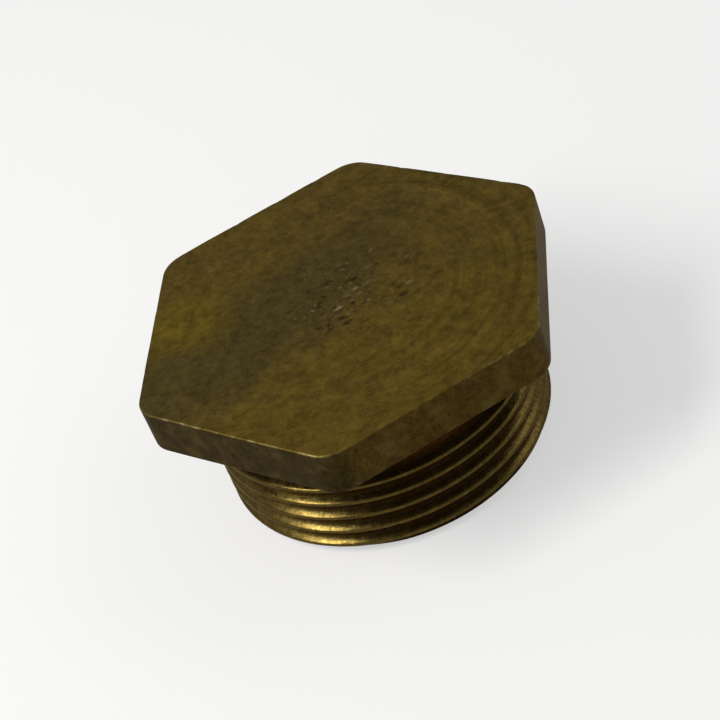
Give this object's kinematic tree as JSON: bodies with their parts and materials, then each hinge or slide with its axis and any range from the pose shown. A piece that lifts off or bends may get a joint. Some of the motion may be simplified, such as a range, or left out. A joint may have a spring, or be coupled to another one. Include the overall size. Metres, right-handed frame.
{
  "type": "blind plug",
  "caption": "Brass blind plug with a low hexagon head and a short parallel pipe thread below a run-out relief, made to close a threaded port.",
  "frame": {"origin": "centre of the flat end face of the threaded shank, which the plug stands on", "axes": "+Z along the plug's axis, from the end of the thread up through the head; X across two flats of the hexagon, Y across two corners"},
  "size_m": [0.048, 0.0542, 0.0222],
  "materials": {
    "brass": "old bare brass, turned and dulled brown by age, brighter on edges and thread crests"
  },
  "bodies": {
    "root": {"plug": "brass"}
  },
  "joints": []
}
